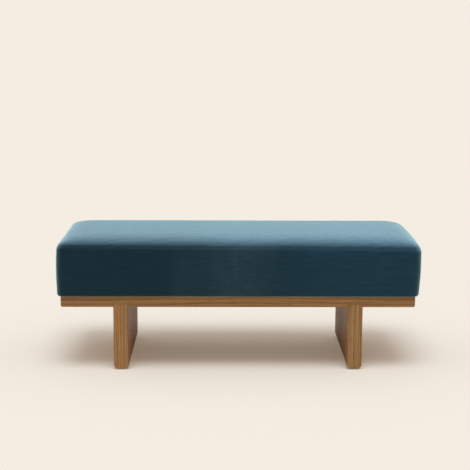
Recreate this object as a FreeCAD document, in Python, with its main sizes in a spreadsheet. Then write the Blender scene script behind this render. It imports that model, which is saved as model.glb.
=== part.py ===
"""Upholstered bench: a boxed velvet cushion on an oak platform with two slab legs.

Millimetres. X runs along the bench, the front faces -Y, Z is up and the floor is at zero.
The origin is on the floor, in the middle of the bench.
"""

import FreeCAD, Part
import math
import os
import re
import Sketcher

# Driving dimensions
SIZES = [
    ("platform_length", 1200, "oak platform from end to end"),
    ("platform_depth", 460, "oak platform from front to back, and the depth of the legs"),
    ("platform_thickness", 38, "height of the platform's edge"),
    ("platform_round", 7, "radius of the platform's lower edges and corners"),
    ("rail_width", 70, "width of the four mitred rails"),
    ("leg_rail_width", 110, "width of the cross rail over each leg"),
    ("middle_rail_width", 80, "width of the cross rail in the middle"),
    ("floor_clearance", 217, "floor to the underside of the platform"),
    ("leg_thickness", 50, "thickness of a slab leg"),
    ("leg_inset", 178, "end of the platform to the outer face of a leg"),
    ("leg_housing", 10, "depth of the housing that takes the top of a leg"),
    ("foot_round", 15, "radius of a leg's long edges at the floor"),
    ("leg_edge_bevel", 2, "bevel round the front and back faces of a leg"),
    ("pad_diameter", 18, "felt pad under a leg"),
    ("pad_thickness", 3, "thickness of a felt pad"),
    ("pad_inset", 45, "front or back face of a leg to the middle of a pad"),
    ("joint_clearance", 0.1, "play on each side of a joint or bore"),
    ("mitre_tenon_thickness", 8, "loose tenon in a mitre"),
    ("mitre_tenon_width", 32, "width of that tenon along the mitre"),
    ("mitre_tenon_length", 40, "length of that tenon, half in each rail"),
    ("rail_tenon_thickness", 10, "loose tenon at the end of a cross rail"),
    ("rail_tenon_width", 50, "width of that tenon across the rail"),
    ("rail_tenon_length", 60, "length of that tenon, half in each rail"),
    ("bolt_diameter", 8, "bolt that holds a leg"),
    ("bolt_length", 38, "length of a leg bolt under its head"),
    ("bolt_head_diameter", 13, "head of a leg bolt"),
    ("bolt_head_height", 8, "height of a leg bolt's head"),
    ("bolt_key", 6, "hexagon key for a leg bolt"),
    ("bolt_key_depth", 4, "depth of the key's socket in a leg bolt"),
    ("bolt_margin", 60, "end of a cross rail to the middle of a leg bolt"),
    ("bolt_recess_diameter", 20, "recess for the head of a leg bolt"),
    ("bolt_recess_depth", 13, "depth of that recess"),
    ("washer_width", 13.5, "square plate washer under a leg bolt"),
    ("washer_thickness", 1.6, "thickness of that washer"),
    ("insert_diameter", 12, "threaded insert in the top of a leg"),
    ("insert_length", 25, "length of a threaded insert"),
    ("screw_diameter", 5, "screw that holds the seat board"),
    ("screw_length", 35, "length of a seat screw under its head"),
    ("screw_head_diameter", 10, "head of a seat screw"),
    ("screw_head_height", 3.5, "height of a seat screw's head"),
    ("screw_key", 4, "hexagon key for a seat screw"),
    ("screw_key_depth", 2, "depth of the key's socket in a seat screw"),
    ("screw_margin", 90, "end of a cross rail to the middle of a seat screw"),
    ("screw_recess_diameter", 12, "recess for the head of a seat screw"),
    ("screw_recess_depth", 16, "depth of that recess"),
    ("board_thickness", 15, "plywood seat board"),
    ("cushion_overhang", 12, "cushion past the edge of the platform, at its foot"),
    ("cushion_bulge", 5, "swell of the cushion's sides at half height"),
    ("cushion_corner", 24, "radius of the cushion's upright corners"),
    ("cushion_foot_round", 8, "radius where the cover turns under the cushion"),
    ("seam_height", 170, "platform to the seam round the top panel"),
    ("seam_draw", 4, "how far the seam pulls in between the corners"),
    ("crown_height", 30, "rise of the top panel from the seam to its middle"),
    ("crown_flat", 244, "depth of the flat part in the middle of the top panel"),
    ("crown_corner", 60, "corner radius of that flat part"),
    ("cover_thickness", 1.5, "velvet with its backing"),
    ("hem_width", 45, "cover turned under the seat board, from the cushion's edge"),
    ("dust_cover_thickness", 0.8, "fabric under the seat board"),
    ("wrap_thickness", 12, "fibre wrap between the cover and the foam"),
    ("topper_thickness", 25, "soft foam topper at its edge"),
    ("foam_corner", 10, "corner radius of the seat board and the foam"),
    ("layer_gap", 0.2, "gap between two soft layers"),
]

# Places that several pieces share, as expressions of the driving dimensions
LEG_MIDDLE = "(platform_length / 2 - leg_inset - leg_thickness / 2)"
LEG_TOP = "(floor_clearance + leg_housing)"
PLATFORM_TOP = "(floor_clearance + platform_thickness)"
RAIL_SPAN = "(platform_depth - 2 * rail_width)"
MITRE_LEVEL = "(floor_clearance + platform_thickness / 2)"
RAIL_LEVEL = "(floor_clearance + leg_housing / 2 + platform_thickness / 2)"
BOLT_SEAT = "(floor_clearance + platform_thickness - bolt_recess_depth)"
SCREW_SEAT = "(floor_clearance + screw_recess_depth)"
SCREW_OFFSET = "(leg_thickness / 4 + leg_rail_width / 4)"
BOARD_BOTTOM = "(floor_clearance + platform_thickness + cover_thickness)"
BOARD_TOP = f"({BOARD_BOTTOM} + board_thickness)"
BOARD_HALF_LENGTH = "(platform_length / 2 + cushion_overhang - cover_thickness - wrap_thickness)"
BOARD_HALF_DEPTH = "(platform_depth / 2 + cushion_overhang - cover_thickness - wrap_thickness)"
CORE_TOP = f"({PLATFORM_TOP} + seam_height - cover_thickness - wrap_thickness - topper_thickness)"

SIDES = {"left": -1, "right": 1}
ENDS = (-1, 1)
MITRE_ANGLE = 45
TOLERANCE = 0.001

doc = FreeCAD.newDocument("upholstered_bench")
sheet = doc.addObject("Spreadsheet::Sheet", "Sizes")
for row, (size_name, value, note) in enumerate(SIZES, start=1):
    sheet.set(f"A{row}", size_name)
    sheet.set(f"B{row}", str(value))
    sheet.set(f"C{row}", note)
    sheet.setAlias(f"B{row}", size_name)
doc.recompute()
size = {size_name: sheet.get(size_name) for size_name, value, note in SIZES}


# Small helpers that tie objects to the sheet

def sized(expression):
    """Point each size that an expression names at its cell of the sheet."""
    return re.sub("[a-z_]+", lambda word: f"Sizes.{word[0]}" if word[0] in size else word[0], expression)


def bind(thing, place, **properties):
    """Tie the properties and the place of an object to expressions of the sizes."""
    for name, expression in properties.items():
        thing.setExpression(name, sized(expression))
    for axis, expression in zip("xyz", place):
        thing.setExpression(f"Placement.Base.{axis}", sized(expression))
    return thing


def turned(kind, name, axis, degrees):
    """New object turned about an axis through its own origin."""
    thing = doc.addObject(kind, name)
    thing.Placement = FreeCAD.Placement(FreeCAD.Vector(), FreeCAD.Rotation(FreeCAD.Vector(*axis), degrees))
    return thing


def box(name, place, length, width, height):
    """Box with its lowest corner at a place."""
    return bind(doc.addObject("Part::Box", name), place, Length=length, Width=width, Height=height)


def cylinder(name, place, diameter, height):
    """Upright cylinder with its foot at a place."""
    return bind(doc.addObject("Part::Cylinder", name), place, Radius=f"({diameter}) / 2", Height=height)


def hexagon(name, place, key, height):
    """Upright hexagon prism, as wide across its flats as the key."""
    prism = doc.addObject("Part::Prism", name)
    prism.Polygon = 6
    return bind(prism, place, Circumradius=f"{key} / sqrt(3)", Height=height)


def fuse(name, pieces):
    """One solid from several."""
    joined = doc.addObject("Part::MultiFuse", name)
    joined.Shapes = pieces
    return joined


def group(name, pieces):
    """Separate solids under one name."""
    gathered = doc.addObject("Part::Compound", name)
    gathered.Links = pieces
    return gathered


def carve(name, base, tools):
    """Cut the tools from the base, one after another, and give the result the name."""
    for step, tool in enumerate(tools, start=1):
        cut = doc.addObject("Part::Cut", name if step == len(tools) else f"{name}_step_{step}")
        cut.Base = base
        cut.Tool = tool
        base = cut
    return base


# Small helpers for bodies with sketches

def level_sketch(body, name, level, corners):
    """Closed level outline in a body, with each corner held at its own expressions."""
    sketch = body.newObject("Sketcher::SketchObject", name)
    ground = next(feature for feature in body.Origin.OriginFeatures if feature.Role == "XY_Plane")
    sketch.AttachmentSupport = (ground, [""])
    sketch.MapMode = "FlatFace"
    sketch.setExpression("AttachmentOffset.Base.z", sized(level))
    count = len(corners)
    turn = 2 * math.pi / count
    ring = [FreeCAD.Vector(math.cos(step * turn), math.sin(step * turn), 0) for step in range(count)]
    for step in range(count):
        sketch.addGeometry(Part.LineSegment(ring[step], ring[(step + 1) % count]), False)
    for step in range(count):
        sketch.addConstraint(Sketcher.Constraint("Coincident", step, 2, (step + 1) % count, 1))
    for step, (across, deep) in enumerate(corners):
        for kind, start, expression in (("DistanceX", ring[step].x, across), ("DistanceY", ring[step].y, deep)):
            held = sketch.addConstraint(Sketcher.Constraint(kind, step, 1, start))
            sketch.setExpression(f"Constraints[{held}]", sized(expression))
    return sketch


def centred_rectangle(half_length, half_depth):
    """Corners of a rectangle about the middle of the bench."""
    return [
        (f"-{half_length}", f"-{half_depth}"),
        (half_length, f"-{half_depth}"),
        (half_length, half_depth),
        (f"-{half_length}", half_depth),
    ]


def pad(body, name, level, corners, height):
    """Upright prism on a level outline."""
    feature = body.newObject("PartDesign::Pad", name)
    feature.Profile = level_sketch(body, f"{name}_outline", level, corners)
    feature.setExpression("Length", sized(height))
    doc.recompute()
    return feature


def dress_edges(body, name, base, wanted, kind, measure, amount):
    """Fillet or chamfer the edges of a feature whose bounds pass the test."""
    feature = body.newObject(kind, name)
    edges = enumerate(base.Shape.Edges, start=1)
    feature.Base = (base, [f"Edge{number}" for number, edge in edges if wanted(edge.BoundBox)])
    feature.setExpression(measure, sized(amount))
    doc.recompute()
    return feature


def round_edges(body, name, base, radius, wanted):
    """Round the edges of a feature whose bounds pass the test."""
    return dress_edges(body, name, base, wanted, "PartDesign::Fillet", "Radius", radius)


def bevel_edges(body, name, base, amount, wanted):
    """Bevel the edges of a feature whose bounds pass the test."""
    return dress_edges(body, name, base, wanted, "PartDesign::Chamfer", "Size", amount)


def same(one, other):
    """Whether two lengths agree."""
    return abs(one - other) < TOLERANCE


def is_upright(bounds):
    """Whether an edge with these bounds stands upright."""
    return same(bounds.XLength, 0) and same(bounds.YLength, 0)


def rounded_slab(name, half_length, half_depth, level, thickness, corner):
    """Level slab about the middle of the bench with round upright corners."""
    body = doc.addObject("PartDesign::Body", name)
    block = pad(body, f"{name}_block", level, centred_rectangle(half_length, half_depth), thickness)
    round_edges(body, f"{name}_corners", block, corner, is_upright)
    return body


# Tools that bore and house the joints: each is shared by the pieces that meet there

def mitre_tenons(name, clearance):
    """Flat tenons across the four mitres, larger all round by the clearance."""
    thickness = f"(mitre_tenon_thickness + 2 * {clearance})"
    width = f"(mitre_tenon_width + 2 * {clearance})"
    length = f"(mitre_tenon_length + 2 * {clearance})"
    tenons = []
    for side in ENDS:
        for end in ENDS:
            # the width follows the mitre, from the outer corner of the platform to the inner one
            slope = side * end
            tenon = turned("Part::Box", f"{name}_{len(tenons) + 1}", (0, 0, 1), MITRE_ANGLE * slope)
            place = (
                f"{side} * (platform_length - rail_width) / 2 - ({width} - {slope} * {length}) / sqrt(8)",
                f"{end} * (platform_depth - rail_width) / 2 - ({slope} * {width} + {length}) / sqrt(8)",
                f"{MITRE_LEVEL} - {thickness} / 2",
            )
            tenons.append(bind(tenon, place, Length=width, Width=length, Height=thickness))
    return group(name, tenons)


def rail_tenons(name, clearance):
    """Flat tenons at both ends of the three cross rails, larger all round by the clearance."""
    thickness = f"(rail_tenon_thickness + 2 * {clearance})"
    width = f"(rail_tenon_width + 2 * {clearance})"
    length = f"(rail_tenon_length + 2 * {clearance})"
    tenons = []
    for middle in (f"-{LEG_MIDDLE}", "0", LEG_MIDDLE):
        for end in ENDS:
            place = (
                f"{middle} - {width} / 2",
                f"{end} * {RAIL_SPAN} / 2 - {length} / 2",
                f"{RAIL_LEVEL} - {thickness} / 2",
            )
            tenons.append(box(f"{name}_{len(tenons) + 1}", place, width, length, thickness))
    return group(name, tenons)


def rail_places(across, margin):
    """Places in plan, in from both ends of both cross rails over the legs."""
    return [(f"{side} * {across}", f"{end} * ({RAIL_SPAN} / 2 - {margin})") for side in ENDS for end in ENDS]


def bolt_places():
    """Middle of each leg bolt in plan."""
    return rail_places(LEG_MIDDLE, "bolt_margin")


def screw_places():
    """Middle of each seat screw in plan, outside the legs."""
    return rail_places(f"({LEG_MIDDLE} + {SCREW_OFFSET})", "screw_margin")


def upright_bores(name, places, level, diameter, height):
    """Upright cylinders at the places, to be cut away."""
    bores = []
    for number, (across, deep) in enumerate(places, start=1):
        bores.append(cylinder(f"{name}_{number}", (across, deep, level), diameter, height))
    return group(name, bores)


def leg_housings():
    """Channels across the underside of the platform that take the tops of the legs."""
    width = "(leg_thickness + 2 * joint_clearance)"
    channels = []
    for name, side in SIDES.items():
        place = (f"{side} * {LEG_MIDDLE} - {width} / 2", "-platform_depth / 2", "floor_clearance")
        channels.append(box(f"{name}_housing", place, width, "platform_depth", "leg_housing"))
    return group("leg_housings", channels)


housings = leg_housings()
mitre_mortises = mitre_tenons("mitre_mortise", "joint_clearance")
rail_mortises = rail_tenons("rail_mortise", "joint_clearance")
bolt_bores = upright_bores(
    "bolt_bore", bolt_places(), LEG_TOP, "bolt_diameter + 2 * joint_clearance", f"{PLATFORM_TOP} - {LEG_TOP}")
bolt_recesses = upright_bores("bolt_recess", bolt_places(), BOLT_SEAT, "bolt_recess_diameter", "bolt_recess_depth")
insert_bores = upright_bores(
    "insert_bore", bolt_places(), f"{LEG_TOP} - insert_length",
    "insert_diameter + 2 * joint_clearance", "insert_length")
screw_bores = upright_bores(
    "screw_bore", screw_places(), "floor_clearance", "screw_diameter + 2 * joint_clearance",
    "screw_recess_depth + screw_length + joint_clearance")
screw_recesses = upright_bores(
    "screw_recess", screw_places(), "floor_clearance", "screw_recess_diameter", "screw_recess_depth")


# Oak platform

def platform_form():
    """Whole platform with its lower edges and upright corners rounded."""
    half_length = "platform_length / 2"
    half_depth = "platform_depth / 2"
    body = doc.addObject("PartDesign::Body", "platform_form")
    block = pad(body, "platform_block", "floor_clearance",
                centred_rectangle(half_length, half_depth), "platform_thickness")
    level = size["floor_clearance"]
    round_edges(body, "platform_rounding", block, "platform_round",
                lambda bounds: is_upright(bounds) or same(bounds.ZMax, level))
    return body


def platform_rail(name, corners, tools, form):
    """Mitred rail: its outline padded, its joints cut and its outer edges brought to the platform's form."""
    blank = doc.addObject("PartDesign::Body", f"{name}_blank")
    pad(blank, f"{name}_block", "floor_clearance", corners, "platform_thickness")
    rail = doc.addObject("Part::Common", name)
    rail.Base = carve(f"{name}_jointed", blank, tools)
    rail.Tool = form
    return rail


def platform_rails():
    """Front, back, left and right rails, mitred where they meet."""
    form = platform_form()
    outer_x = "platform_length / 2"
    outer_y = "platform_depth / 2"
    inner_x = "(platform_length / 2 - rail_width)"
    inner_y = "(platform_depth / 2 - rail_width)"
    rails = []
    for name, end in (("front", -1), ("back", 1)):
        corners = [
            (f"-{outer_x}", f"{end} * {outer_y}"),
            (outer_x, f"{end} * {outer_y}"),
            (inner_x, f"{end} * {inner_y}"),
            (f"-{inner_x}", f"{end} * {inner_y}"),
        ]
        rails.append(platform_rail(f"platform_{name}_rail", corners, [housings, mitre_mortises, rail_mortises], form))
    for name, side in SIDES.items():
        corners = [
            (f"{side} * {outer_x}", f"-{outer_y}"),
            (f"{side} * {outer_x}", outer_y),
            (f"{side} * {inner_x}", inner_y),
            (f"{side} * {inner_x}", f"-{inner_y}"),
        ]
        rails.append(platform_rail(f"platform_{name}_rail", corners, [mitre_mortises], form))
    return rails


def cross_rail(name, middle, width, tools):
    """Rail between the front and back rails, with its joints and bores cut."""
    place = (f"{middle} - {width} / 2", f"-{RAIL_SPAN} / 2", "floor_clearance")
    blank = box(f"{name}_blank", place, width, RAIL_SPAN, "platform_thickness")
    return carve(name, blank, tools)


def cross_rails():
    """Wide rails over the legs and a plain one in the middle."""
    leg_tools = [housings, rail_mortises, bolt_bores, bolt_recesses, screw_bores, screw_recesses]
    rails = [cross_rail("middle_cross_rail", "0", "middle_rail_width", [rail_mortises])]
    for name, side in SIDES.items():
        rails.append(cross_rail(f"{name}_cross_rail", f"{side} * {LEG_MIDDLE}", "leg_rail_width", leg_tools))
    return rails


# Slab legs

def leg(name, side):
    """Slab leg: round at the floor, bevelled round its front and back, square where it is housed."""
    body = doc.addObject("PartDesign::Body", f"{name}_slab")
    outer = f"({side} * {LEG_MIDDLE} + leg_thickness / 2)"
    inner = f"({side} * {LEG_MIDDLE} - leg_thickness / 2)"
    half_depth = "platform_depth / 2"
    corners = [
        (inner, f"-{half_depth}"),
        (outer, f"-{half_depth}"),
        (outer, half_depth),
        (inner, half_depth),
    ]
    foot = size["pad_thickness"]
    top = size["floor_clearance"]
    face = size["platform_depth"] / 2
    block = pad(body, f"{name}_block", "pad_thickness", corners, "floor_clearance - pad_thickness")
    rounded = round_edges(body, f"{name}_foot", block, "foot_round",
                          lambda bounds: same(bounds.ZMax, foot) and same(bounds.XLength, 0))
    bevel_edges(body, f"{name}_edges", rounded, "leg_edge_bevel",
                lambda bounds: same(bounds.YLength, 0) and same(abs(bounds.YMax), face) and not same(bounds.ZMin, top))
    pad(body, f"{name}_tongue", "floor_clearance", corners, "leg_housing")
    return carve(name, body, [insert_bores])


def foot_pads():
    """Felt pads under the front and back of each leg."""
    pads = []
    for side in ENDS:
        for end in ENDS:
            place = (f"{side} * {LEG_MIDDLE}", f"{end} * (platform_depth / 2 - pad_inset)", "0")
            pads.append(cylinder(f"foot_pad_{len(pads) + 1}", place, "pad_diameter", "pad_thickness"))
    return group("foot_pads", pads)


# Fasteners

def ring(name, place, outer, inner, height):
    """Upright ring with its foot at a place."""
    return carve(name, cylinder(f"{name}_outside", place, outer, height),
                 [cylinder(f"{name}_bore", place, inner, height)])


def leg_bolts():
    """Bolts that pull the legs into their housings from above."""
    seat = f"({BOLT_SEAT} + washer_thickness)"
    bolts = []
    for number, (across, deep) in enumerate(bolt_places(), start=1):
        name = f"leg_bolt_{number}"
        head = cylinder(f"{name}_head", (across, deep, seat), "bolt_head_diameter", "bolt_head_height")
        shank = cylinder(f"{name}_shank", (across, deep, f"{seat} - bolt_length"), "bolt_diameter", "bolt_length")
        socket_level = f"{seat} + bolt_head_height - bolt_key_depth"
        socket = hexagon(f"{name}_socket", (across, deep, socket_level), "bolt_key", "bolt_key_depth")
        bolts.append(carve(name, fuse(f"{name}_solid", [head, shank]), [socket]))
    return group("leg_bolts", bolts)


def leg_washers():
    """Square washers between the bolt heads and the floors of their recesses."""
    washers = []
    for number, (across, deep) in enumerate(bolt_places(), start=1):
        name = f"leg_washer_{number}"
        corner = (f"{across} - washer_width / 2", f"{deep} - washer_width / 2", BOLT_SEAT)
        plate = box(f"{name}_plate", corner, "washer_width", "washer_width", "washer_thickness")
        bore = cylinder(f"{name}_bore", (across, deep, BOLT_SEAT),
                        "bolt_diameter + 2 * joint_clearance", "washer_thickness")
        washers.append(carve(name, plate, [bore]))
    return group("leg_washers", washers)


def leg_inserts():
    """Threaded inserts let into the tops of the legs."""
    bore = "bolt_diameter + 2 * joint_clearance"
    inserts = []
    for number, (across, deep) in enumerate(bolt_places(), start=1):
        place = (across, deep, f"{LEG_TOP} - insert_length")
        inserts.append(ring(f"leg_insert_{number}", place, "insert_diameter", bore, "insert_length"))
    return group("leg_inserts", inserts)


def seat_screws():
    """Wood screws that hold the seat board down through the cross rails."""
    screws = []
    for number, (across, deep) in enumerate(screw_places(), start=1):
        name = f"seat_screw_{number}"
        foot = (across, deep, f"{SCREW_SEAT} - screw_head_height")
        head = cylinder(f"{name}_head", foot, "screw_head_diameter", "screw_head_height")
        shank = cylinder(f"{name}_shank", (across, deep, SCREW_SEAT), "screw_diameter", "screw_length")
        socket = hexagon(f"{name}_socket", foot, "screw_key", "screw_key_depth")
        screws.append(carve(name, fuse(f"{name}_solid", [head, shank]), [socket]))
    return group("seat_screws", screws)


# Seat board, dust cover and foam core

def seat_board():
    """Plywood board that carries the cushion, bored for its screws."""
    blank = rounded_slab("seat_board_blank", BOARD_HALF_LENGTH, BOARD_HALF_DEPTH,
                         BOARD_BOTTOM, "board_thickness", "foam_corner")
    return carve("seat_board", blank, [screw_bores])


def dust_cover():
    """Thin fabric under the seat board, inside the hem of the cover."""
    half_length = "(platform_length / 2 + cushion_overhang - hem_width - layer_gap)"
    half_depth = "(platform_depth / 2 + cushion_overhang - hem_width - layer_gap)"
    place = (f"-{half_length}", f"-{half_depth}", f"{BOARD_BOTTOM} - dust_cover_thickness")
    sheet_blank = box("dust_cover_blank", place, f"2 * {half_length}", f"2 * {half_depth}", "dust_cover_thickness")
    return carve("dust_cover", sheet_blank, [screw_bores])


def foam_core():
    """Firm foam block on the seat board."""
    return rounded_slab("foam_core", BOARD_HALF_LENGTH, BOARD_HALF_DEPTH,
                        BOARD_TOP, f"{CORE_TOP} - {BOARD_TOP}", "foam_corner")


# Soft forms: lofts through level outlines with bowed sides and round corners

HALF_LENGTH = size["platform_length"] / 2 + size["cushion_overhang"]
HALF_DEPTH = size["platform_depth"] / 2 + size["cushion_overhang"]
FOOT_LEVEL = size["floor_clearance"] + size["platform_thickness"]
SEAM_LEVEL = FOOT_LEVEL + size["seam_height"]
COVER_CROWN_STEPS = 5
FOAM_CROWN_STEPS = 3
SIDE_STEPS = 2
CORNER_CHORDS = 4
STEP_POWER = 1.5
CROWN_POWER = 2.5
SHOULDER_POWER = 0.714
FOOT_TURNS = [math.radians(degrees) for degrees in (0, 45, 90)]


def outline(half_length, half_depth, bow, corner, level):
    """Level outline: four sides that bow out, or in where bow is negative, joined by corners of short chords."""
    x, y = half_length - corner, half_depth - corner
    starts = [(-x, -half_depth), (half_length, -y), (x, half_depth), (-half_length, y)]
    middles = [(0, -half_depth - bow), (half_length + bow, 0), (0, half_depth + bow), (-half_length - bow, 0)]
    ends = [(x, -half_depth), (half_length, y), (-x, half_depth), (-half_length, -y)]
    turns = [(x, -y), (x, y), (-x, y), (-x, -y)]
    edges = []
    for side in range(len(starts)):
        start, middle, end, after = (
            FreeCAD.Vector(*point, level) for point in (starts[side], middles[side], ends[side], starts[side - 3]))
        straight = same(bow, 0)
        edges.append(Part.LineSegment(start, end) if straight else Part.Arc(start, middle, end))
        turn_x, turn_y = turns[side]
        bend = [end]
        for step in range(1, CORNER_CHORDS):
            angle = math.pi / 2 * (side - 1 + step / CORNER_CHORDS)
            bend.append(FreeCAD.Vector(turn_x + corner * math.cos(angle), turn_y + corner * math.sin(angle), level))
        bend.append(after)
        edges.extend(Part.LineSegment(first, second) for first, second in zip(bend, bend[1:]))
    return Part.Wire([edge.toShape() for edge in edges])


def loft(outlines):
    """Solid through level outlines, ruled from each to the next."""
    return Part.makeLoft(outlines, True, True)


def crown(half_length, half_depth, draw, corner, level, rise, steps):
    """Domed solid that rises steeply from an outline, drawn in between its corners, to a flat middle."""
    run = half_depth - size["crown_flat"] / 2
    sections = []
    for step in range(steps + 1):
        share = (step / steps) ** STEP_POWER
        inset = run * share
        bend = corner + (size["crown_corner"] - corner) * share
        height = level + rise * (1 - (1 - share) ** CROWN_POWER) ** SHOULDER_POWER
        sections.append(outline(half_length - inset, half_depth - inset, -draw * (1 - share), bend, height))
    return loft(sections)


def block(half_length, half_depth, corner, bottom, top):
    """Straight block with round upright corners."""
    face = Part.Face(outline(half_length, half_depth, 0, corner, bottom))
    return face.extrude(FreeCAD.Vector(0, 0, top - bottom))


def cushion_form(skin):
    """Whole cushion, smaller all round by the skin: turned under at its foot, swollen sides, crowned top."""
    half_length = HALF_LENGTH - skin
    half_depth = HALF_DEPTH - skin
    corner = size["cushion_corner"] - skin
    foot_round = size["cushion_foot_round"] - skin
    foot = FOOT_LEVEL + skin
    outlines = []
    for turn in FOOT_TURNS:
        inset = foot_round * (1 - math.sin(turn))
        height = foot + foot_round * (1 - math.cos(turn))
        outlines.append(outline(half_length - inset, half_depth - inset, 0, corner - inset, height))
    side_foot = foot + foot_round
    for step in range(1, SIDE_STEPS + 1):
        share = step / SIDE_STEPS
        swell = size["cushion_bulge"] / 2 * math.sin(math.pi * share)
        height = side_foot + (SEAM_LEVEL - side_foot) * share
        bow = swell - size["seam_draw"] * share ** 2
        outlines.append(outline(half_length + swell, half_depth + swell, bow, corner, height))
    top = crown(half_length, half_depth, size["seam_draw"], corner,
                SEAM_LEVEL, size["crown_height"] - skin, COVER_CROWN_STEPS)
    return loft(outlines).fuse(top).removeSplitter()


def soft_piece(name, shape):
    """Document object that holds a soft form."""
    piece = doc.addObject("Part::Feature", name)
    piece.Shape = shape
    piece.Placement = FreeCAD.Placement()
    return piece


def foam_form(gap):
    """Foam above the core's top, larger all round by the gap: straight sides under a crown."""
    inset = size["cover_thickness"] + size["wrap_thickness"] - gap
    half_length = HALF_LENGTH - inset
    half_depth = HALF_DEPTH - inset
    corner = size["foam_corner"] + gap
    edge_top = SEAM_LEVEL - inset
    bottom = edge_top - size["topper_thickness"] - gap
    straight = block(half_length, half_depth, corner, bottom, edge_top)
    dome = crown(half_length, half_depth, 0, corner, edge_top, size["crown_height"], FOAM_CROWN_STEPS)
    return straight.fuse(dome).removeSplitter()


def fibre_wrap():
    """Fibre over the top and sides of the foam and round the edge of the seat board."""
    gap = size["layer_gap"]
    inset = size["cover_thickness"] + size["wrap_thickness"] - gap
    hollow = block(HALF_LENGTH - inset, HALF_DEPTH - inset, size["foam_corner"] / 2,
                   FOOT_LEVEL, SEAM_LEVEL - inset - size["topper_thickness"])
    whole = cushion_form(size["cover_thickness"] + gap)
    return whole.cut(hollow.fuse(foam_form(gap)).removeSplitter())


def cover_shell():
    """Sewn cover: the cushion's skin, turned under the seat board as a hem and open inside it."""
    window = block(HALF_LENGTH - size["hem_width"], HALF_DEPTH - size["hem_width"], size["foam_corner"],
                   FOOT_LEVEL, FOOT_LEVEL + size["cover_thickness"])
    return cushion_form(0).cut(cushion_form(size["cover_thickness"])).cut(window)


def plan_prism(points, bottom, top):
    """Upright prism over a plan polygon."""
    corners = [FreeCAD.Vector(across, deep, bottom) for across, deep in points]
    face = Part.Face(Part.makePolygon([*corners, corners[0]]))
    return face.extrude(FreeCAD.Vector(0, 0, top - bottom))


def cover_panels():
    """Top panel and four border panels, parted at the top seam and at the upright corner seams."""
    shell = cover_shell()
    reach = size["cushion_bulge"] + size["cushion_overhang"]
    outer_x, outer_y = HALF_LENGTH + reach, HALF_DEPTH + reach
    ridge = HALF_LENGTH - HALF_DEPTH
    summit = SEAM_LEVEL + size["crown_height"]
    whole_plan = [(-outer_x, -outer_y), (outer_x, -outer_y), (outer_x, outer_y), (-outer_x, outer_y)]
    front_left, front_right, back_right, back_left = whole_plan
    border_plans = {
        "front": [front_left, front_right, (ridge, 0), (-ridge, 0)],
        "right": [front_right, back_right, (ridge, 0)],
        "back": [back_right, back_left, (-ridge, 0), (ridge, 0)],
        "left": [back_left, front_left, (-ridge, 0)],
    }
    panels = [soft_piece("cover_top_panel", shell.common(plan_prism(whole_plan, SEAM_LEVEL, summit + reach)))]
    for name, plan in border_plans.items():
        part = shell.common(plan_prism(plan, FOOT_LEVEL - reach, SEAM_LEVEL))
        panels.append(soft_piece(f"cover_{name}_border", part))
    return panels


# All sub-parts, each under its own label

parts = [
    *platform_rails(),
    *cross_rails(),
    mitre_tenons("mitre_tenons", "0"),
    rail_tenons("rail_tenons", "0"),
    *(leg(f"{name}_leg", side) for name, side in SIDES.items()),
    foot_pads(),
    leg_bolts(),
    leg_washers(),
    leg_inserts(),
    seat_screws(),
    seat_board(),
    dust_cover(),
    foam_core(),
    soft_piece("foam_topper", foam_form(0)),
    soft_piece("fibre_wrap", fibre_wrap()),
    *cover_panels(),
]
doc.recompute()

failed = [thing.Name for thing in doc.Objects if {"Invalid", "Error"} & set(thing.State)]
if failed:
    raise RuntimeError(f"failed objects: {failed}")
for part in parts:
    if part.Shape.isNull() or not part.Shape.isValid() or not part.Shape.Solids:
        raise RuntimeError(f"bad shape: {part.Label}")

os.makedirs("parts", exist_ok=True)
for part in parts:
    part.Shape.exportStep(f"parts/{part.Label}.step")
    bounds = part.Shape.BoundBox
    print(f"{part.Label}: {len(part.Shape.Solids)} solids, {part.Shape.Volume:.0f} mm3, "
          f"x {bounds.XMin:.2f} {bounds.XMax:.2f} y {bounds.YMin:.2f} {bounds.YMax:.2f} "
          f"z {bounds.ZMin:.2f} {bounds.ZMax:.2f}")
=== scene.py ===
"""Velvet bench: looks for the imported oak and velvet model.

Metres. X runs along the bench, the front faces -Y, Z is up and the floor is at zero.
"""

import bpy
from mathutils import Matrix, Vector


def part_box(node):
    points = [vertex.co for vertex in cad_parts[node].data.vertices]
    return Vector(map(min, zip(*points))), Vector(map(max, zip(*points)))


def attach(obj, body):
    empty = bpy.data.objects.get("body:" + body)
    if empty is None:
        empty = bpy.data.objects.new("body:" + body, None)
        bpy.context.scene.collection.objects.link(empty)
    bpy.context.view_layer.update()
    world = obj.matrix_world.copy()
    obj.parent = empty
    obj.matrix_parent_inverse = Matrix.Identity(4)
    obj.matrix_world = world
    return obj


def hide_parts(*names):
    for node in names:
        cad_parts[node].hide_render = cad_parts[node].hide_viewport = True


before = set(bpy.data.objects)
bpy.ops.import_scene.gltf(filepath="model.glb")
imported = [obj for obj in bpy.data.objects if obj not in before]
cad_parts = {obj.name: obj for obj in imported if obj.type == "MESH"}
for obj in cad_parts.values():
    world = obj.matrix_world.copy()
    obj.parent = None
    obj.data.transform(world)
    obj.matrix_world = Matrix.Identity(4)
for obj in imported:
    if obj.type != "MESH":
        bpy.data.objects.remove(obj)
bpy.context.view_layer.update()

import math

import bmesh
import bpy
from mathutils import Matrix, Vector

bl_info = {
    "name": "Velvet bench",
    "version": (1, 0, 0),
    "blender": (4, 5, 0),
    "location": "View3D > Sidebar > Bench",
    "description": "Dresses the bench: sewn velvet cushion, oak platform and legs, and a plain studio",
    "category": "Object",
}

BODY = "root"

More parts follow.
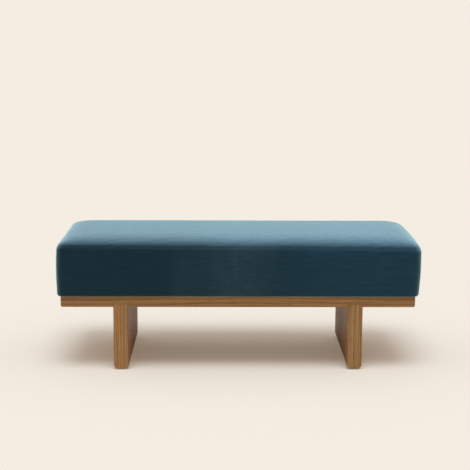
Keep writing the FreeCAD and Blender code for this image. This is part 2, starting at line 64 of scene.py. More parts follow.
# Nodes of the frame, by what they are made of
COVER_NODES = (
    "cover_top_panel", "cover_front_border", "cover_back_border", "cover_left_border", "cover_right_border")
WRAP_NODE = "fibre_wrap"
FOAM_NODES = ("foam_core", "foam_topper")
LONG_RAILS = ("platform_front_rail", "platform_back_rail")
CROSS_RAILS = (
    "platform_left_rail", "platform_right_rail", "left_cross_rail", "right_cross_rail", "middle_cross_rail")
LEGS = ("left_leg", "right_leg")
TENON_NODES = ("mitre_tenons", "rail_tenons")
STEEL_NODES = ("leg_bolts", "leg_washers", "leg_inserts", "seat_screws")

# Sizes read from the frame
HIGHEST = 1
PLATFORM_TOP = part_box("platform_front_rail")[HIGHEST][2]
SEAM_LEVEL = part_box("cover_front_border")[HIGHEST][2]
CROWN_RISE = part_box("cover_top_panel")[HIGHEST][2] - SEAM_LEVEL
HALF_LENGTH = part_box("cover_top_panel")[HIGHEST][0]
HALF_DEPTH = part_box("cover_top_panel")[HIGHEST][1]
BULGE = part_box("cover_right_border")[HIGHEST][0] - HALF_LENGTH
HEM_WIDTH = HALF_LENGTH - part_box("dust_cover")[HIGHEST][0]


# Sizes and colours that a user would change

def length(name, description, default):
    """Length setting in metres."""
    return bpy.props.FloatProperty(
        name=name, description=description, default=default, unit="LENGTH", precision=4)


def colour(name, description, default):
    """Linear colour setting."""
    return bpy.props.FloatVectorProperty(
        name=name, description=description, default=default, subtype="COLOR", size=3, min=0, max=1)


def angle(name, description, degrees):
    """Angle setting."""
    return bpy.props.FloatProperty(
        name=name, description=description, default=math.radians(degrees), subtype="ANGLE")


class CushionSettings(bpy.types.PropertyGroup):
    """Form and velvet of the cushion."""

    corner_radius: length("Corner radius", "Radius of the cushion's upright corners", 0.024)
    foot_radius: length("Foot radius", "Radius where the cover turns under the cushion", 0.004)
    bulge: length("Bulge", "Swell of the borders at half height", BULGE)
    seam_draw: length("Seam draw", "How far the top seam pulls in at the middle of the front and back", 0.004)
    seam_roll: length("Seam roll", "Height over which the borders roll over towards the top seam", 0.014)
    seam_tuck: length("Seam tuck", "How far that roll leads in", 0.004)
    seam_drop: length("Seam drop", "How far the top seam hangs at the left end", 0.0)
    seam_slope: length("Seam slope", "How much further it hangs at the right end", 0.007)
    crown_flat: length("Crown flat", "Depth of the flat part in the middle of the top panel", 0.244)
    end_run: length("End run", "Length over which the top panel rises from the seam at each end", 0.095)
    right_fullness: length("Right fullness", "How much further the right end stands out at the seam", 0.0052)
    seam_depth: length("Seam depth", "Depth of the furrow along a seam", 0.001)
    foot_gap: length("Foot gap", "Room between the cover and the platform", 0.0003)
    slack: bpy.props.FloatProperty(
        name="Slack", description="Share of the crown and bulge left for the pressure to fill",
        default=0.05, min=0, max=1, subtype="FACTOR")
    pressure: bpy.props.FloatProperty(
        name="Pressure", description="Pressure that swells the cover", default=2.0, min=0)
    filling: bpy.props.FloatProperty(
        name="Filling", description="How firmly the filling holds the cover", default=0.02, min=0)
    most_swell: length("Most swell", "Furthest that the pressure may move a point of the cover", 0.01)
    velvet: colour("Velvet", "Ground of the velvet, seen into the pile", (0.0, 0.0195, 0.035))
    velvet_right: colour(
        "Velvet at the right", "Ground where the pile leans to the right", (0.005, 0.036, 0.062))
    velvet_brushed: colour(
        "Brushed velvet", "Ground where the pile was brushed the other way", (0.0165, 0.045, 0.064))
    # The pile tips colour is painted sheen: the velvet mixes it into its base colour where the surface is
    # seen at a grazing angle.
    painted_sheen_tips: colour("Pile tips", "Flanks of the pile, seen across it", (0.255, 0.472, 0.635))
    sheen: colour("Sheen", "Tips of the pile against the light", (0.67, 0.98, 1.0))
    brushed_place: length("Brushed patch", "Middle of the brushed patch along the bench", 0.005)
    brushed_reach: length("Brushed reach", "Half the length of the brushed patch", 0.25)


class TimberSettings(bpy.types.PropertyGroup):
    """Oak of the platform and the legs."""

    early_wood: colour("Early wood", "Pale open part of a growth ring", (0.45, 0.24, 0.1))
    late_wood: colour("Late wood", "Dense part of a growth ring", (0.245, 0.115, 0.045))
    pore: colour("Pores", "Open pores along the grain", (0.075, 0.03, 0.011))
    ring_spacing: length("Ring spacing", "Width of a growth ring", 0.0065)
    stave_thickness: length("Stave thickness", "Thickness of the staves glued up to a leg", 0.0125)
    stave_width: length("Stave width", "Width of those staves", 0.092)


class StageSettings(bpy.types.PropertyGroup):
    """Floor, light and camera."""

    backdrop: colour("Backdrop", "Colour of the floor and of the wall behind", (0.913, 0.847, 0.76))
    floor: colour("Floor", "Paint of the floor", (0.871, 0.834, 0.769))
    shadow_glow: colour("Shadow glow", "Light that the floor gives back in the shadow", (0.88, 0.69, 0.515))
    sky: colour("Sky colour", "Colour of the even light", (1.0, 0.88, 0.76))
    sun: colour("Sun colour", "Colour of the soft lights", (0.9, 0.95, 1.0))
    sky_strength: bpy.props.FloatProperty(
        name="Sky", description="Even light from all sides", default=0.28, min=0)
    sun_strength: bpy.props.FloatProperty(
        name="Sun", description="Soft light from the front and above", default=1.65, min=0)
    sun_spread: angle("Sun spread", "Width of the soft light", 32)
    sun_tilt: angle("Sun tilt", "Lean of the soft light towards the camera", 17.5)
    ceiling_strength: bpy.props.FloatProperty(
        name="Ceiling", description="Broad light from above", default=1.15, min=0)
    ceiling_spread: angle("Ceiling spread", "Width of the broad light", 108)
    ceiling_tilt: angle("Ceiling tilt", "Lean of the broad light towards the camera", 3)
    shadow_lift: bpy.props.FloatProperty(
        name="Shadow lift", description="Share of the glow in the floor",
        default=0.22, min=0, max=1, subtype="FACTOR")
    camera_place: bpy.props.FloatVectorProperty(
        name="Camera", description="Place of the camera",
        default=(-0.0522, -4.3457, 1.1704), unit="LENGTH", size=3)
    camera_pitch: angle("Pitch", "How far the camera looks down", 9.716)
    camera_yaw: angle("Yaw", "How far the camera turns to the right", 0.57)
    camera_roll: angle("Roll", "How far the camera leans", 0.177)
    camera_lens: bpy.props.FloatProperty(
        name="Lens", description="Focal length in millimetres on a 36 mm sensor", default=95.53)


# Helpers for materials

def new_material(name):
    """Empty node material and its tree."""
    material = bpy.data.materials.new(name)
    material.use_nodes = True
    material.node_tree.nodes.clear()
    return material, material.node_tree


def node(tree, kind, inputs=None, **settings):
    """Add a node, set its properties and feed its inputs with values or with outputs of other nodes."""
    made = tree.nodes.new(f"ShaderNode{kind}")
    for name, value in settings.items():
        setattr(made, name, value)
    for key, value in (inputs or {}).items():
        if isinstance(value, bpy.types.NodeSocket):
            tree.links.new(value, made.inputs[key])
        else:
            made.inputs[key].default_value = value
    return made


def math_node(tree, operation, first, second=0.0):
    """Output of one sum on two values."""
    return node(tree, "Math", {0: first, 1: second}, operation=operation).outputs[0]


def mixed(tree, share, first, second, blend="MIX"):
    """Output that mixes two colours."""
    blender = node(tree, "Mix", {0: share, 6: first, 7: second}, data_type="RGBA", blend_type=blend)
    return blender.outputs[2]


def remapped(tree, value, low, high, new_low=0.0, new_high=1.0):
    """Output that takes one range of values smoothly to another."""
    inputs = {"Value": value, "From Min": low, "From Max": high, "To Min": new_low, "To Max": new_high}
    return node(tree, "MapRange", inputs, interpolation_type="SMOOTHSTEP").outputs["Result"]


def noise(tree, place, scale, detail=2.0, roughness=0.5):
    """Output of soft noise."""
    inputs = {"Vector": place, "Scale": scale, "Detail": detail, "Roughness": roughness}
    return node(tree, "TexNoise", inputs).outputs["Fac"]


def opaque(rgb):
    """Colour with its alpha."""
    return (*rgb, 1.0)


def object_place(tree):
    """Output with the place on the object."""
    return node(tree, "TexCoord").outputs["Object"]


def stretched(tree, place, scale):
    """Output with the place scaled along its axes."""
    return node(tree, "VectorMath", {0: place, 1: scale}, operation="MULTIPLY").outputs["Vector"]


def surface(tree, base, roughness, bump=None, **inputs):
    """Principled surface and its output."""
    feeds = {"Base Color": base, "Roughness": roughness}
    feeds.update({name.replace("_", " "): value for name, value in inputs.items()})
    if bump is not None:
        height, strength, distance = bump
        bump_node = node(tree, "Bump", {"Height": height, "Strength": strength, "Distance": distance})
        feeds["Normal"] = bump_node.outputs["Normal"]
    shader = node(tree, "BsdfPrincipled", feeds)
    node(tree, "OutputMaterial", {"Surface": shader.outputs["BSDF"]})


# Materials

def velvet_material(settings):
    """Cut velvet: dark ground, painted sheen of pale pile tips mixed in where it is seen at a grazing angle
    on up-facing parts, a brushed patch and seams darkened with painted shade.
    """
    material, tree = new_material("teal_velvet")
    place = object_place(tree)
    along, deep = node(tree, "SeparateXYZ", {0: place}).outputs[0:2]
    broad = noise(tree, stretched(tree, place, (1.0, 1.0, 0.45)), 3.2, 2.0, 0.45)
    bands = noise(tree, stretched(tree, place, (1.0, 1.0, 0.3)), 16.0, 3.0, 0.55)
    nap = noise(tree, stretched(tree, place, (0.1, 1.0, 1.0)), 210.0, 2.0, 0.5)
    strokes = noise(tree, stretched(tree, place, (1.0, 0.06, 1.0)), 120.0, 2.0, 0.5)
    drift = math_node(tree, "MULTIPLY", math_node(tree, "SUBTRACT", broad, 0.5), 0.5)
    wavering = math_node(tree, "ADD", along, drift)
    away = math_node(tree, "ABSOLUTE", math_node(tree, "SUBTRACT", wavering, settings.brushed_place))
    patch = remapped(tree, away, settings.brushed_reach, 0.04)
    rising = node(tree, "SeparateXYZ", {0: node(tree, "NewGeometry").outputs["Normal"]}).outputs[2]
    upright = math_node(tree, "MULTIPLY", patch, remapped(tree, rising, 0.9, 0.3))
    brushed = math_node(tree, "MULTIPLY", upright, remapped(tree, bands, 0.25, 0.7, 0.6, 1.1))
    leaning = remapped(tree, wavering, 0.0, 0.4)
    pile = noise(tree, place, 900.0, 3.0, 0.6)
    ground = mixed(tree, leaning, opaque(settings.velvet), opaque(settings.velvet_right))
    swept = mixed(tree, brushed, ground, opaque(settings.velvet_brushed))
    combed = mixed(tree, remapped(tree, nap, 0.35, 0.7, 0.0, 0.32), swept, (0.0, 0.006, 0.01, 1.0))
    speckled = mixed(tree, remapped(tree, pile, 0.3, 0.75, 0.0, 0.25), combed, (0.0, 0.006, 0.01, 1.0))
    # Painted sheen: the pile tips colour goes into the base colour by how grazing the view is, on up-facing
    # parts only, a little more at the right and towards the back, streaked by the nap.
    facing = node(tree, "LayerWeight", {"Blend": 0.5}).outputs["Facing"]
    sideways = math_node(tree, "SUBTRACT", 1.6, math_node(tree, "MULTIPLY", along, 0.5))
    steepness = math_node(tree, "SUBTRACT", sideways, math_node(tree, "MULTIPLY", patch, 0.33))
    across = math_node(tree, "POWER", facing, steepness)
    painted_sheen_on_top = math_node(tree, "MULTIPLY", across, remapped(tree, rising, 0.0, 0.5))
    painted_sheen_leant = math_node(tree, "MULTIPLY", painted_sheen_on_top, remapped(tree, wavering, 0.0, 0.4, 1.0, 1.06))
    painted_sheen_to_back = math_node(tree, "MULTIPLY", painted_sheen_leant, remapped(tree, deep, -0.15, 0.21, 0.98, 1.19))
    painted_sheen_streaked = math_node(tree, "MULTIPLY", painted_sheen_to_back, remapped(tree, strokes, 0.3, 0.7, 0.94, 1.06))
    with_painted_sheen = mixed(tree, painted_sheen_streaked, speckled, opaque(settings.painted_sheen_tips))
    # Painted shade: the seam marks darken the velvet to stand in for the shadow in the seam crease.
    seam = node(tree, "Attribute", attribute_name="seam").outputs["Fac"]
    sewn = mixed(tree, math_node(tree, "MULTIPLY", seam, 0.12), with_painted_sheen, (0.001, 0.004, 0.006, 1.0))
    rough = remapped(tree, pile, 0.2, 0.8, 0.8, 0.92)
    surface(tree, sewn, rough, (pile, 0.25, 0.0006), Sheen_Weight=1.0, Sheen_Roughness=0.44,
            Sheen_Tint=opaque(settings.sheen), Specular_IOR_Level=0.1)
    return material


GRAIN_ORDERS = {"x": (1, 2, 0), "y": (2, 0, 1), "z": (0, 1, 2)}
STAVE_PICK = 1.0


def oak_material(name, grain, pith, settings, staves=None):
    """Oak with growth rings about a pith line, fibre, pores and, where staves are given, glued staves."""
    material, tree = new_material(name)
    parts = node(tree, "SeparateXYZ", {0: object_place(tree)}).outputs
    wide, thick, along = (parts[index] for index in GRAIN_ORDERS[grain])
    tone = 0.5
    if staves is not None:
        thin, broad = staves
        column = math_node(tree, "FLOOR", math_node(tree, "DIVIDE", wide, thin))
        row = math_node(tree, "FLOOR", math_node(tree, "DIVIDE", thick, broad))
        cell = node(tree, "CombineXYZ", {0: column, 1: row, 2: STAVE_PICK}).outputs[0]
        tone = node(tree, "TexWhiteNoise", {0: cell}, noise_dimensions="3D").outputs["Value"]
        along = math_node(tree, "ADD", along, math_node(tree, "MULTIPLY", tone, 3.0))
        wide = math_node(tree, "ADD", wide, math_node(tree, "MULTIPLY", tone, 0.05))
    board = node(tree, "CombineXYZ", {0: wide, 1: thick, 2: along}).outputs[0]
    sway = noise(tree, stretched(tree, board, (9.0, 9.0, 1.3)), 1.0, 3.0, 0.55)
    ripple = noise(tree, stretched(tree, board, (60.0, 60.0, 4.0)), 1.0, 2.0, 0.5)
    from_pith = node(tree, "VectorMath", {0: board, 1: (*pith, 0.0)}, operation="SUBTRACT").outputs["Vector"]
    flat = stretched(tree, from_pith, (1.0, 1.0, 0.0))
    radius = node(tree, "VectorMath", {0: flat}, operation="LENGTH").outputs["Value"]
    swayed = math_node(tree, "ADD", radius, math_node(tree, "MULTIPLY", sway, 0.034))
    rippled = math_node(tree, "ADD", swayed, math_node(tree, "MULTIPLY", ripple, 0.0035))
    ring = math_node(tree, "FRACT", math_node(tree, "DIVIDE", rippled, settings.ring_spacing))
    late = math_node(tree, "MULTIPLY", remapped(tree, ring, 0.25, 0.85), remapped(tree, ring, 1.0, 0.93))
    fibre = noise(tree, stretched(tree, board, (330.0, 330.0, 4.0)), 1.0, 4.0, 0.65)
    grain_lines = remapped(tree, fibre, 0.3, 0.7)
    streak = noise(tree, stretched(tree, board, (45.0, 45.0, 1.3)), 1.0, 2.0, 0.5)
    pore_noise = noise(tree, stretched(tree, board, (1300.0, 1300.0, 26.0)), 1.0, 1.0, 0.4)
    early = math_node(tree, "SUBTRACT", 1.0, late)
    pores = math_node(tree, "MULTIPLY", remapped(tree, pore_noise, 0.6, 0.7), early)
    ring_depth = math_node(tree, "MULTIPLY", late, 0.55)
    depth = math_node(tree, "ADD", ring_depth, math_node(tree, "MULTIPLY", grain_lines, 0.45))
    wood = mixed(tree, depth, opaque(settings.early_wood), opaque(settings.late_wood))
    toned = mixed(tree, 1.0, wood, node(tree, "CombineXYZ", {
        0: remapped(tree, streak, 0.25, 0.75, 0.8, 1.16),
        1: remapped(tree, streak, 0.25, 0.75, 0.82, 1.13),
        2: remapped(tree, streak, 0.25, 0.75, 0.86, 1.06),
    }).outputs[0], "MULTIPLY")
    if staves is not None:
        toned = mixed(tree, 1.0, toned, node(tree, "CombineXYZ", {
            0: remapped(tree, tone, 0.0, 1.0, 0.93, 1.2),
            1: remapped(tree, tone, 0.0, 1.0, 1.04, 1.08),
            2: remapped(tree, tone, 0.0, 1.0, 1.1, 1.0),
        }).outputs[0], "MULTIPLY")
    finished = mixed(tree, math_node(tree, "MULTIPLY", pores, 0.75), toned, opaque(settings.pore))
    smoothed = remapped(tree, fibre, 0.2, 0.8, 0.42, 0.56)
    rough = math_node(tree, "ADD", smoothed, math_node(tree, "MULTIPLY", pores, 0.2))
    relief = math_node(tree, "SUBTRACT", math_node(tree, "MULTIPLY", fibre, 0.3), pores)
    surface(tree, finished, rough, (relief, 0.35, 0.0004), Specular_IOR_Level=0.06)
    return material


def plywood_material():
    """Birch plywood: pale face veneer, layered edge."""
    material, tree = new_material("birch_plywood")
    place = object_place(tree)
    parts = node(tree, "SeparateXYZ", {0: place}).outputs
    layer = math_node(tree, "FRACT", math_node(tree, "DIVIDE", parts[2], 0.003))
    fibre = noise(tree, stretched(tree, place, (8.0, 260.0, 260.0)), 1.0, 4.0, 0.6)
    wood = mixed(tree, fibre, (0.62, 0.46, 0.29, 1.0), (0.44, 0.29, 0.16, 1.0))
    layered = mixed(tree, remapped(tree, layer, 0.45, 0.55, 0.0, 0.35), wood, (0.24, 0.14, 0.07, 1.0))
    surface(tree, layered, remapped(tree, fibre, 0.2, 0.8, 0.55, 0.7), (fibre, 0.2, 0.0004))
    return material


def beech_material():
    """Plain beech of the loose tenons, flecked."""
    material, tree = new_material("beech")
    place = object_place(tree)
    fibre = noise(tree, stretched(tree, place, (200.0, 200.0, 200.0)), 1.0, 4.0, 0.6)
    flecks = noise(tree, stretched(tree, place, (500.0, 90.0, 500.0)), 1.0)
    fleck = remapped(tree, flecks, 0.6, 0.68, 0.0, 0.5)
    wood = mixed(tree, fibre, (0.55, 0.36, 0.2, 1.0), (0.42, 0.25, 0.13, 1.0))
    flecked = mixed(tree, fleck, wood, (0.28, 0.14, 0.07, 1.0))
    surface(tree, flecked, remapped(tree, fibre, 0.2, 0.8, 0.5, 0.65), (fibre, 0.2, 0.0003))
    return material


def steel_material():
    """Zinc-plated steel with a faint spangle and fine scratches."""
    material, tree = new_material("zinc_steel")
    place = object_place(tree)
    spangle = noise(tree, place, 320.0, 2.0, 0.5)
    scratch = noise(tree, stretched(tree, place, (1.0, 1.0, 14.0)), 420.0, 3.0, 0.6)
    plate = mixed(tree, spangle, (0.62, 0.63, 0.64, 1.0), (0.48, 0.5, 0.52, 1.0))
    rough = remapped(tree, scratch, 0.25, 0.75, 0.26, 0.46)
    surface(tree, plate, rough, (scratch, 0.12, 0.0002), Metallic=1.0)
    return material


def woven_material(name, thread, shade, pitch):
    """Thin plain weave, such as the dust cover."""
    material, tree = new_material(name)
    place = object_place(tree)
    parts = node(tree, "SeparateXYZ", {0: place}).outputs
    turn = 2 * math.pi / pitch
    warp = math_node(tree, "SINE", math_node(tree, "MULTIPLY", parts[0], turn))
    weft = math_node(tree, "SINE", math_node(tree, "MULTIPLY", parts[1], turn))
    weave = remapped(tree, math_node(tree, "MULTIPLY", warp, weft), -1.0, 1.0)
    slub = noise(tree, stretched(tree, place, (40.0, 400.0, 400.0)), 1.0, 3.0, 0.6)
    cloth = mixed(tree, weave, shade, thread)
    slubbed = mixed(tree, math_node(tree, "MULTIPLY", slub, 0.5), cloth, shade)
    surface(tree, slubbed, 0.9, (weave, 0.4, 0.0004))
    return material


def fluffy_material(name, light, dark, scale, relief):
    """Felt, fibre or foam: a fine speckle with a soft relief."""
    material, tree = new_material(name)
    place = object_place(tree)
    cells = noise(tree, place, scale, 4.0, 0.65)
    broad = noise(tree, place, scale / 30.0, 2.0, 0.5)
    mottled = mixed(tree, math_node(tree, "MULTIPLY", cells, 0.75), light, dark)
    toned = mixed(tree, math_node(tree, "MULTIPLY", broad, 0.35), mottled, dark)
    surface(tree, toned, remapped(tree, cells, 0.2, 0.8, 0.85, 1.0), (cells, 0.6, relief))
    return material


# Helpers for pieces

def finish_nodes(names, material):
    """Give CAD nodes a material."""
    for name in names:
        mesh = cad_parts[name].data
        mesh.materials.clear()
        mesh.materials.append(material)


def new_piece(name, shape, material):
    """Object from a bmesh, smooth shaded, with its material."""
    mesh = bpy.data.meshes.new(name)
    shape.to_mesh(mesh)
    shape.free()
    mesh.shade_smooth()
    mesh.materials.append(material)
    piece = bpy.data.objects.new(name, mesh)
    bpy.context.collection.objects.link(piece)
    return piece


def gridded_block(cells):
    """Block from 0 to 1 on each axis, cut into cells on all its faces."""
    block = bmesh.new()
    bmesh.ops.create_cube(block, size=1.0, matrix=Matrix.Translation((0.5, 0.5, 0.5)))
    for axis, count in enumerate(cells):
        along = [edge for edge in block.edges if abs((edge.verts[0].co - edge.verts[1].co)[axis]) > 0.5]
        bmesh.ops.subdivide_edges(block, edges=along, cuts=count - 1, use_grid_fill=True)
    return block


# Cushion

COVER_CELLS = (120, 52, 20)
WRAP_CELLS = (60, 26, 10)
END_CROWDING = 0.6
CROWN_POWER = 2.5
SHOULDER_POWER = 0.66
WRAP_INSET = 0.011
HEM_THICKNESS = 0.0011
SIM_FRAMES = range(1, 21)
FILLING_HOLD = 0.5
SEAM_HOLD = 0.7


def crowded(share):
    """Place from -1 to 1 with the cells closer together towards both ends."""
    straight = 2 * share - 1
    return (1 - END_CROWDING) * straight + END_CROWDING * math.sin(math.pi / 2 * straight)


def arch(share):
    """Height of a quarter circle over its run, from 0 at its foot to 1."""
    return math.sqrt(max(0.0, 1 - (1 - min(1.0, share)) ** 2))


def crown_share(share):
    """Height of the crown over its run, from 0 at the seam to 1 where it is flat."""
    return (1 - (1 - min(1.0, share)) ** CROWN_POWER) ** SHOULDER_POWER


def cushion_place(share, inset, fill, settings):
    """Where a point of the gridded block lies on the cushion, drawn in by the inset and filled to a share."""
    along, deep = crowded(share.x), crowded(share.y)
    up = (crowded(share.z) + 1) / 2
    foot = PLATFORM_TOP + settings.foot_gap + inset
    drop = settings.seam_drop + settings.seam_slope * (along + 1) / 2
    seam_level = SEAM_LEVEL - drop
    level = foot + (seam_level - foot) * up
    tucked = settings.seam_tuck * (1 - arch((seam_level - level) / settings.seam_roll))
    foot_radius = settings.foot_radius
    turned_under = foot_radius * (1 - arch((level - foot) / foot_radius))
    swell = settings.bulge / 2 * fill * math.sin(math.pi * up)
    drawn = swell - settings.seam_draw * up ** 2
    half_length = HALF_LENGTH - inset - turned_under - tucked / 2 + swell + swell * (1 - deep ** 2)
    half_depth = HALF_DEPTH - inset - turned_under - tucked + swell + drawn * (1 - along ** 2)
    corner = settings.corner_radius - inset - turned_under
    past_x = abs(along) * half_length - (half_length - corner)
    past_y = abs(deep) * half_depth - (half_depth - corner)
    pull = 0.0
    if past_x > 0 and past_y > 0:
        pull = 1 - max(past_x, past_y) / math.hypot(past_x, past_y)
    x = math.copysign(abs(along) * half_length - pull * past_x, along)
    y = math.copysign(abs(deep) * half_depth - pull * past_y, deep)
    x += settings.right_fullness * up * max(0.0, along) * (2 - deep ** 2)
    from_end = (1 - abs(along)) * HALF_LENGTH
    from_side = (1 - abs(deep)) * HALF_DEPTH
    if share.z > 0.999:
        run = HALF_DEPTH - settings.crown_flat / 2
        rise_x, rise_y = crown_share(from_end / settings.end_run), crown_share(from_side / run)
        if rise_x > 0 and rise_y > 0:
            level += (CROWN_RISE + drop - inset) * fill / math.sqrt(rise_x ** -2 + rise_y ** -2 - 1)
    elif share.z < 0.001 and min(from_end, from_side) > HEM_WIDTH:
        level += HEM_THICKNESS
    return Vector((x, y, level))


def cushion_shape(cells, inset, fill, settings):
    """Gridded cushion form, and the numbers of the points on its seams and under its foot."""
    shape = gridded_block(cells)
    shape.verts.index_update()
    seam, under, corner = set(), set(), set()
    for vert in shape.verts:
        at_end = min(vert.co.x, 1 - vert.co.x) < 0.001
        at_side = min(vert.co.y, 1 - vert.co.y) < 0.001
        if vert.co.z > 0.999 and (at_end or at_side):
            seam.add(vert.index)
        if vert.co.z < 0.001:
            under.add(vert.index)
        if at_end and at_side:
            corner.add(vert.index)
    for vert in shape.verts:
        vert.co = cushion_place(vert.co, inset, fill, settings)
    bmesh.ops.recalc_face_normals(shape, faces=shape.faces)
    return shape, seam, under, corner


def inflate(cover, seam, under, settings):
    """Swell the cover with Cloth under pressure on its springy filling, within a cap, and keep the result."""
    mesh = cover.data
    group = cover.vertex_groups.new(name="held")
    group.add(range(len(mesh.vertices)), FILLING_HOLD, "REPLACE")
    group.add(sorted(seam), SEAM_HOLD, "REPLACE")
    group.add(sorted(under), 1.0, "REPLACE")
    cloth = cover.modifiers.new("Cloth", "CLOTH")
    cloth.settings.quality = 6
    cloth.settings.mass = 0.02
    cloth.settings.tension_stiffness = 12.0
    cloth.settings.compression_stiffness = 12.0
    cloth.settings.shear_stiffness = 6.0
    cloth.settings.bending_stiffness = 0.5
    cloth.settings.vertex_group_mass = "held"
    cloth.settings.pin_stiffness = settings.filling
    cloth.settings.use_pressure = True
    cloth.settings.uniform_pressure_force = settings.pressure
    cloth.settings.effector_weights.gravity = 0.0
    cloth.collision_settings.use_collision = False
    for step in SIM_FRAMES:
        bpy.context.scene.frame_set(step)
    swollen = cover.evaluated_get(bpy.context.evaluated_depsgraph_get())
    places = [vert.co.copy() for vert in swollen.data.vertices]
    cover.modifiers.remove(cloth)
    cover.vertex_groups.remove(group)
    for vert, place in zip(mesh.vertices, places):
        move = place - vert.co
        if move.length > settings.most_swell:
            move *= settings.most_swell / move.length
        vert.co += move
    bpy.context.scene.frame_set(SIM_FRAMES[0])


def sew(cover, lines, settings):
    """Press furrows along the seams and mark them for the velvet, which darkens them with painted shade."""
    mesh = cover.data
    normals = [vert.normal.copy() for vert in mesh.vertices]
    marks = mesh.attributes.new("seam", "FLOAT", "POINT")
    for index in lines:
        pucker = 0.85 + 0.15 * math.sin(index * 2.4)
        mesh.vertices[index].co -= normals[index] * settings.seam_depth * pucker
        marks.data[index].value = 1.0


class BENCH_OT_cushion(bpy.types.Operator):
    """Make the sewn velvet cover, swollen by its filling, and the fibre wrap inside it"""

    bl_idname = "bench.cushion"
    bl_label = "Cushion"

    def execute(self, context):
        settings = context.scene.bench_cushion
        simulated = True
        fill = 1 - settings.slack if simulated else 1.0
        shape, seam, under, corner = cushion_shape(COVER_CELLS, 0.0, fill, settings)
        cover = new_piece("cushion_cover", shape, velvet_material(settings))
        if simulated:
            inflate(cover, seam, under, settings)
        sew(cover, seam | corner - under, settings)
        smooth = cover.modifiers.new("Subdivision", "SUBSURF")
        smooth.levels = smooth.render_levels = 1
        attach(cover, BODY)
        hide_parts(*COVER_NODES)
        shape = cushion_shape(WRAP_CELLS, WRAP_INSET, 1 - settings.slack, settings)[0]
        fibre = fluffy_material("fibre_wrap", (0.86, 0.86, 0.84, 1.0), (0.7, 0.7, 0.68, 1.0), 240.0, 0.001)
        wrap = new_piece("cushion_fibre_wrap", shape, fibre)
        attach(wrap, BODY)
        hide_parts(WRAP_NODE)
        foam = fluffy_material("foam", (0.82, 0.78, 0.62, 1.0), (0.66, 0.61, 0.45, 1.0), 420.0, 0.0008)
        finish_nodes(FOAM_NODES, foam)
        return {"FINISHED"}


# Oak

class BENCH_OT_platform(bpy.types.Operator):
    """Finish the oak rails of the platform and the loose tenons in their joints"""

    bl_idname = "bench.platform"
    bl_label = "Platform"

    def execute(self, context):
        settings = context.scene.bench_timber
        finish_nodes(LONG_RAILS, oak_material("oak_along", "x", (0.02, 0.34), settings))
        finish_nodes(CROSS_RAILS, oak_material("oak_across", "y", (0.33, 0.05), settings))
        finish_nodes(TENON_NODES, beech_material())
        return {"FINISHED"}


class BENCH_OT_legs(bpy.types.Operator):
    """Finish the two oak legs, glued up from staves, and their felt pads"""

    bl_idname = "bench.legs"
    bl_label = "Legs"

    def execute(self, context):
        settings = context.scene.bench_timber
        staves = (settings.stave_thickness, settings.stave_width)
        finish_nodes(LEGS, oak_material("oak_upright", "z", (0.05, -0.42), settings, staves))
        felt = fluffy_material("felt", (0.16, 0.14, 0.12, 1.0), (0.06, 0.05, 0.045, 1.0), 900.0, 0.0008)
        finish_nodes(("foot_pads",), felt)
        return {"FINISHED"}


class BENCH_OT_seat_base(bpy.types.Operator):
    """Finish the plywood seat board and the dust cover under it"""

    bl_idname = "bench.seat_base"
    bl_label = "Seat base"

    def execute(self, context):
        finish_nodes(("seat_board",), plywood_material())
        dust = woven_material("dust_cloth", (0.05, 0.05, 0.052, 1.0), (0.012, 0.012, 0.013, 1.0), 0.0016)
        finish_nodes(("dust_cover",), dust)
        return {"FINISHED"}


class BENCH_OT_fixings(bpy.types.Operator):
    """Finish the bolts, washers, inserts and screws"""

    bl_idname = "bench.fixings"
    bl_label = "Fixings"

    def execute(self, context):
        finish_nodes(STEEL_NODES, steel_material())
        return {"FINISHED"}


# Stage

FLOOR_SIZE = 60.0
SENSOR_WIDTH = 36.0


def floor_material(settings):
    """Plain pale floor whose shadow is lifted a little for the camera."""
    material, tree = new_material("studio_floor")
    matt = node(tree, "BsdfDiffuse", {"Color": opaque(settings.floor)})
    glow = node(tree, "Emission", {"Color": opaque(settings.shadow_glow), "Strength": 1.0})
    seen = node(tree, "LightPath").outputs["Is Camera Ray"]
    share = math_node(tree, "MULTIPLY", seen, settings.shadow_lift)
    mix = node(tree, "MixShader", {0: share, 1: matt.outputs[0], 2: glow.outputs[0]})
    node(tree, "OutputMaterial", {"Surface": mix.outputs[0]})
    return material


def light_world(settings):
    """Even sky that the camera and reflections see as the backdrop."""
    world = bpy.data.worlds.new("studio")
    world.use_nodes = True
    tree = world.node_tree
    tree.nodes.clear()
    path = node(tree, "LightPath").outputs
    seen = math_node(tree, "MAXIMUM", path["Is Camera Ray"], path["Is Glossy Ray"])
    shown = math_node(tree, "MAXIMUM", seen, path["Is Transmission Ray"])
    sky = node(tree, "Background", {"Color": opaque(settings.sky), "Strength": settings.sky_strength})
    backdrop = node(tree, "Background", {"Color": opaque(settings.backdrop), "Strength": 1.0})
    mix = node(tree, "MixShader", {0: shown, 1: sky.outputs[0], 2: backdrop.outputs[0]})
    node(tree, "OutputWorld", {"Surface": mix.outputs[0]})
    bpy.context.scene.world = world


def add_light(name, tint, strength, spread, tilt):
    """Soft light from far above, leaning towards the camera."""
    light = bpy.data.lights.new(name, "SUN")
    light.color = tint
    light.energy = strength
    light.angle = spread
    lamp = bpy.data.objects.new(name, light)
    lamp.rotation_euler = (tilt, 0, 0)
    bpy.context.collection.objects.link(lamp)


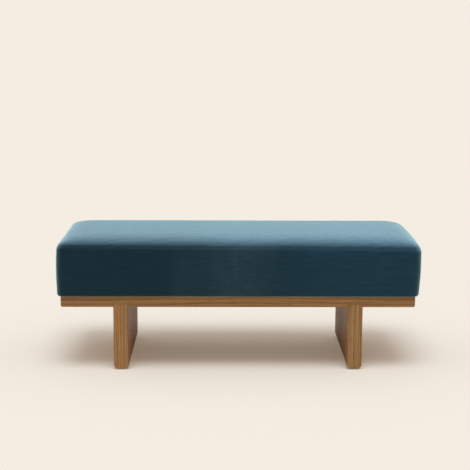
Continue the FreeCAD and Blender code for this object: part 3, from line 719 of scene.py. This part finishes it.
class BENCH_OT_stage(bpy.types.Operator):
    """Make the floor, the light and the camera"""

    bl_idname = "bench.stage"
    bl_label = "Stage"

    def execute(self, context):
        settings = context.scene.bench_stage
        plane = bmesh.new()
        bmesh.ops.create_grid(plane, x_segments=1, y_segments=1, size=FLOOR_SIZE / 2)
        floor = new_piece("studio_floor", plane, floor_material(settings))
        light_world(settings)
        tint = settings.sun
        add_light("soft_sun", tint, settings.sun_strength, settings.sun_spread, settings.sun_tilt)
        add_light(
            "broad_ceiling", tint, settings.ceiling_strength, settings.ceiling_spread, settings.ceiling_tilt)
        lens = bpy.data.cameras.new("camera")
        lens.sensor_width = SENSOR_WIDTH
        lens.lens = settings.camera_lens
        camera = bpy.data.objects.new("camera", lens)
        camera.location = settings.camera_place
        turn = Matrix.Rotation(-settings.camera_yaw, 4, "Z")
        tilt = Matrix.Rotation(math.pi / 2 - settings.camera_pitch, 4, "X")
        lean = Matrix.Rotation(settings.camera_roll, 4, "Z")
        camera.rotation_euler = (turn @ tilt @ lean).to_euler()
        context.collection.objects.link(camera)
        context.scene.camera = camera
        context.scene.view_settings.view_transform = "Standard"
        return {"FINISHED"}


class BENCH_PT_panel(bpy.types.Panel):
    """Sizes, colours and operators of the bench"""

    bl_label = "Velvet bench"
    bl_space_type = "VIEW_3D"
    bl_region_type = "UI"
    bl_category = "Bench"

    def draw(self, context):
        for name, settings in SETTINGS.items():
            box = self.layout.box()
            group = getattr(context.scene, name)
            for field in settings.__annotations__:
                box.prop(group, field)
        for operator in OPERATORS:
            self.layout.operator(operator.bl_idname)


SETTINGS = {
    "bench_cushion": CushionSettings,
    "bench_timber": TimberSettings,
    "bench_stage": StageSettings,
}
OPERATORS = (
    BENCH_OT_cushion, BENCH_OT_platform, BENCH_OT_legs, BENCH_OT_seat_base, BENCH_OT_fixings, BENCH_OT_stage)
CLASSES = (*SETTINGS.values(), *OPERATORS, BENCH_PT_panel)


def register():
    """Add the classes and the scene's settings."""
    for cls in CLASSES:
        bpy.utils.register_class(cls)
    for name, settings in SETTINGS.items():
        setattr(bpy.types.Scene, name, bpy.props.PointerProperty(type=settings))


def unregister():
    """Take the settings and the classes away."""
    for name in SETTINGS:
        delattr(bpy.types.Scene, name)
    for cls in reversed(CLASSES):
        bpy.utils.unregister_class(cls)


def main():
    """Dress the bench."""
    register()
    bpy.ops.bench.cushion()
    bpy.ops.bench.platform()
    bpy.ops.bench.legs()
    bpy.ops.bench.seat_base()
    bpy.ops.bench.fixings()
    bpy.ops.bench.stage()


if __name__ == "__main__":
    main()
